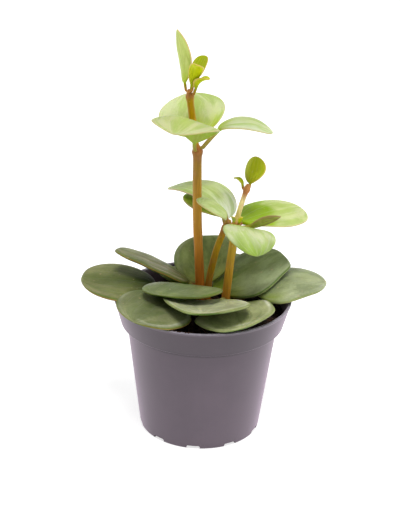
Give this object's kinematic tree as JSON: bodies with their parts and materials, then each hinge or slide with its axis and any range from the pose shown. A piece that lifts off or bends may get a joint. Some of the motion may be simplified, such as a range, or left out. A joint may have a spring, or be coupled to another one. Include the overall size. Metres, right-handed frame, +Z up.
{
  "type": "potted peperomia",
  "caption": "Small bushy house plant with thick round leaves on upright stems, growing in a round plastic nursery pot with a rim band.",
  "frame": {"origin": "centre of the pot's underside, where it stands on the table", "axes": "+Z up along the pot's axis; -Y to the plant's front, as pictured; +X to its right"},
  "size_m": [0.1193, 0.0903, 0.1923],
  "materials": {
    "pot": "thin moulded grey-mauve plastic, softly matte",
    "soil": "damp dark peat with crumbs and fibres",
    "stem": "smooth fleshy green-brown stem with redder nodes",
    "leaf_old": "thick sage-green leaf with a soft waxy sheen",
    "leaf_young": "pale lime young leaf, satin, a little translucent"
  },
  "bodies": {
    "root": {"pot": "pot", "soil": "soil", "stem_tall": "stem", "stem_middle": "stem", "stem_right": "stem", "leaf_low_left": "leaf_old", "leaf_low_front_left": "leaf_old", "leaf_low_back_left": "leaf_old", "leaf_low_back": "leaf_old", "leaf_low_back_right": "leaf_old", "leaf_low_right": "leaf_old", "leaf_low_front_upper": "leaf_old", "leaf_low_front_middle": "leaf_old", "leaf_low_front_right": "leaf_old", "leaf_low_rear_right": "leaf_old", "leaf_low_rear_left": "leaf_old", "leaf_tall_front": "leaf_young", "leaf_tall_back": "leaf_young", "leaf_tall_right": "leaf_young", "leaf_top_left": "leaf_young", "leaf_top_back": "leaf_young", "leaf_top_front": "leaf_young", "leaf_top_right": "leaf_young", "leaf_middle_arching": "leaf_young", "leaf_middle_under": "leaf_young", "leaf_middle_front": "leaf_young", "leaf_right_back": "leaf_young", "leaf_right_edge": "leaf_young", "leaf_right_drooping": "leaf_young", "leaf_bud_left": "leaf_young", "leaf_bud_right": "leaf_young", "leaf_twig_round": "leaf_young", "leaf_twig_curled": "leaf_young"}
  },
  "joints": []
}
